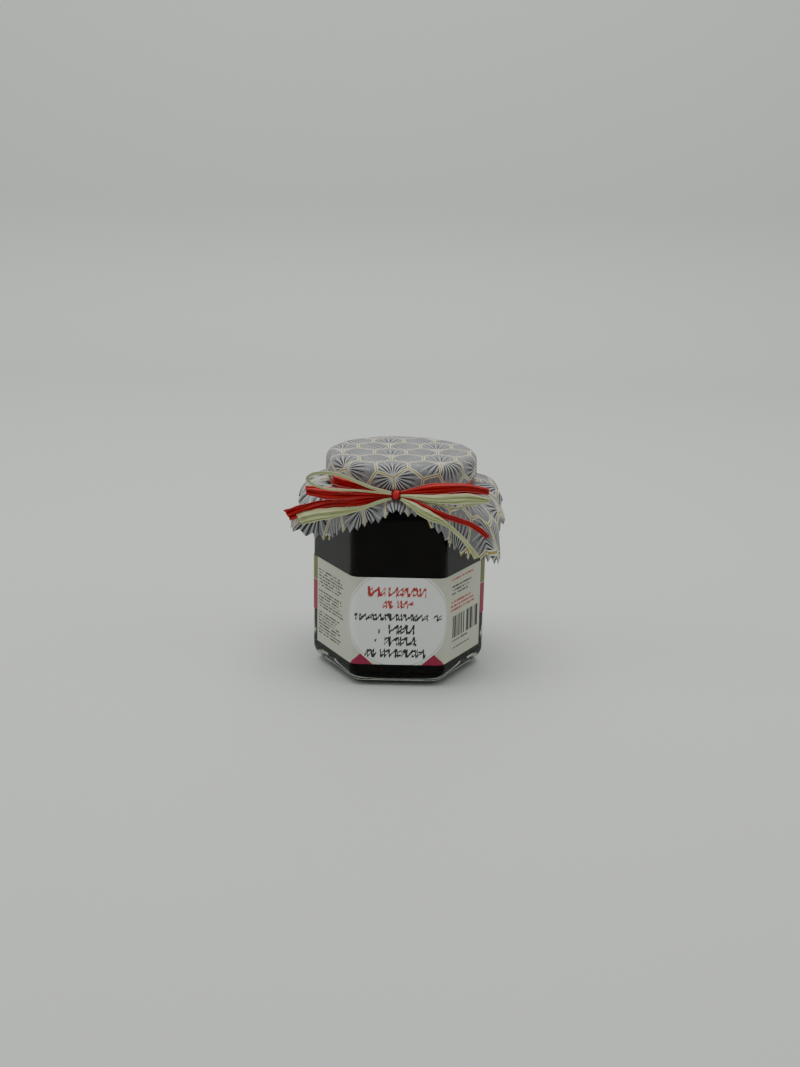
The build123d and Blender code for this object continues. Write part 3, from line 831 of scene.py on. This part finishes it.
def make_raffia():
    red = raffia_material("red_raffia_strip", *RED_RAFFIA)
    green = raffia_material("green_raffia_strip", *GREEN_RAFFIA)
    for seed, (name, stations) in enumerate(RED_STRIPS.items()):
        make_strip(name, stations, red, seed)
    for seed, (name, stations) in enumerate(GREEN_STRIPS.items()):
        make_strip(name, stations, green, seed + 7)


KNOT_TILT = math.radians(28)
KNOT_TURNS = 3


def make_knot():
    """The knot: turns of raffia pulled tight over an egg-shaped core, leaning to one side."""
    low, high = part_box("knot")
    centre = (Vector(low) + Vector(high)) / 2
    size = (Vector(high) - Vector(low)) / 2
    deselect()
    bpy.ops.mesh.primitive_uv_sphere_add(segments=40, ring_count=28, radius=1)
    knot = take("knot_of_raffia")
    for vertex in knot.data.vertices:
        x, y, z = vertex.co
        ridge = abs(math.sin(KNOT_TURNS * math.pi * x / 2 + 0.5))
        swell = 0.80 + 0.14 * ridge + 0.04 * math.sin(9 * z + 5 * x)
        wide = x * size.x * swell * 0.95
        tall = z * size.z * (swell + 0.06 * x + 0.04)
        vertex.co = (wide * math.cos(KNOT_TILT) + tall * math.sin(KNOT_TILT), y * size.y * swell,
                     tall * math.cos(KNOT_TILT) - wide * math.sin(KNOT_TILT))
    bpy.ops.object.mode_set(mode="EDIT")
    bpy.ops.mesh.select_all(action="SELECT")
    bpy.ops.transform.translate(value=centre)
    bpy.ops.object.mode_set(mode="OBJECT")
    apply_modifier(knot, "SUBSURF", levels=1, render_levels=1)
    smooth(knot)
    dress(knot, wound_raffia_material())
    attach(knot, "root")
    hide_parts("knot")


# ---------------------------------------------------------------- jar, jam, labels

JAM_GROWTH = 0.15 * MM


def make_jam():
    """The jam, grown to reach just into the glass wall."""
    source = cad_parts["jam"]
    deselect()
    source.select_set(True)
    bpy.context.view_layer.objects.active = source
    bpy.ops.object.duplicate()
    jam = take("dark_jam_fill")
    bpy.ops.object.mode_set(mode="EDIT")
    bpy.ops.mesh.select_all(action="SELECT")
    bpy.ops.mesh.remove_doubles(threshold=0.00001)
    bpy.ops.transform.shrink_fatten(value=JAM_GROWTH)
    bpy.ops.object.mode_set(mode="OBJECT")
    smooth(jam)
    dress(jam, jam_material())
    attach(jam, "root")
    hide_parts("jam")


def finish_nodes():
    set_node("jar_glass", glass_material())
    set_node("lid", lid_material())
    set_node("label_front", front_label_material())
    set_node("label_back", back_label_material())
    set_node("tie_band", wound_raffia_material())


# ---------------------------------------------------------------- stage, light, camera

FLOOR_FRONT = -2.4
WALL_PLACE = 0.95
WALL_HEIGHT = 2.2
FLOOR_WIDTH = 6.0
SWEEP_RADIUS = 0.16


def make_stage():
    deselect()
    bpy.ops.mesh.primitive_plane_add(size=1, location=(0, 0, 0))
    sweep = take("pale_sweep")
    for vertex in sweep.data.vertices:
        vertex.co.x *= FLOOR_WIDTH
        vertex.co.y = FLOOR_FRONT if vertex.co.y < 0 else WALL_PLACE
    bpy.ops.object.mode_set(mode="EDIT")
    bpy.ops.mesh.select_mode(type="EDGE")
    bpy.ops.mesh.select_all(action="DESELECT")
    bpy.ops.object.mode_set(mode="OBJECT")
    for edge in sweep.data.edges:
        edge.select = all(sweep.data.vertices[i].co.y > 0 for i in edge.vertices)
    bpy.ops.object.mode_set(mode="EDIT")
    bpy.ops.mesh.extrude_region_move(TRANSFORM_OT_translate={"value": (0, 0, WALL_HEIGHT)})
    bpy.ops.object.mode_set(mode="OBJECT")
    apply_modifier(sweep, "BEVEL", width=SWEEP_RADIUS, segments=16, limit_method="ANGLE")
    smooth(sweep)
    dress(sweep, stage_material())


# Each lamp: name, place, what it points at, size, power and colour
LAMPS = (
    ("soft_overhead", (-0.15, 0.1, 1.5), (0, 0.1, 0), 1.6, 12.0, (1.0, 1.0, 0.98)),
    ("soft_left", (-1.4, -0.3, 0.9), (0, 0, 0.05), 1.0, 4.0, (0.98, 1.0, 1.0)),
    ("soft_right", (1.4, -0.2, 0.8), (0, 0, 0.05), 1.0, 3.0, (1.0, 1.0, 0.98)),
    ("wall_glow", (0, 0.1, 1.1), (0, WALL_PLACE, 0.12), 0.9, 5.0, (0.98, 1.0, 0.98)),
)
ROOM_COLOR = (0.85, 0.88, 0.86, 1)
ROOM_STRENGTH = 0.35


def add_light(name, place, target, size, power, color):
    data = bpy.data.lights.new(name, "AREA")
    data.size = size
    data.energy = power
    data.color = color
    light = bpy.data.objects.new(name, data)
    light.location = place
    light.rotation_euler = (Vector(target) - Vector(place)).to_track_quat("-Z", "Y").to_euler()
    bpy.context.scene.collection.objects.link(light)


def make_light():
    for lamp in LAMPS:
        add_light(*lamp)
    world = bpy.data.worlds.new("soft_room")
    world.use_nodes = True
    world.node_tree.nodes["Background"].inputs["Color"].default_value = ROOM_COLOR
    world.node_tree.nodes["Background"].inputs["Strength"].default_value = ROOM_STRENGTH
    bpy.context.scene.world = world


CAMERA_PLACE = Vector((4.3, -643.7, 244.8)) * MM
CAMERA_YAW = math.radians(-0.38)
CAMERA_PITCH = math.radians(15.87)
CAMERA_ROLL = math.radians(-1.12)
CAMERA_LENS = 48.86


def make_camera():
    data = bpy.data.cameras.new("camera")
    data.sensor_fit = "VERTICAL"
    data.sensor_height = 36.0
    data.lens = CAMERA_LENS
    data.clip_start = 0.01
    camera = bpy.data.objects.new("camera", data)
    forward = Vector((math.sin(CAMERA_YAW) * math.cos(CAMERA_PITCH),
                      math.cos(CAMERA_YAW) * math.cos(CAMERA_PITCH), -math.sin(CAMERA_PITCH)))
    level = Vector((math.cos(CAMERA_YAW), -math.sin(CAMERA_YAW), 0))
    down = forward.cross(level)
    right = math.cos(CAMERA_ROLL) * level + math.sin(CAMERA_ROLL) * down
    fall = -math.sin(CAMERA_ROLL) * level + math.cos(CAMERA_ROLL) * down
    turned = Matrix((right, -fall, -forward)).transposed().to_4x4()
    camera.matrix_world = Matrix.Translation(CAMERA_PLACE) @ turned
    bpy.context.scene.collection.objects.link(camera)
    bpy.context.scene.camera = camera


make_camera()
make_stage()
make_light()
finish_nodes()
make_jam()
make_cloth_cover()
make_raffia()
make_knot()
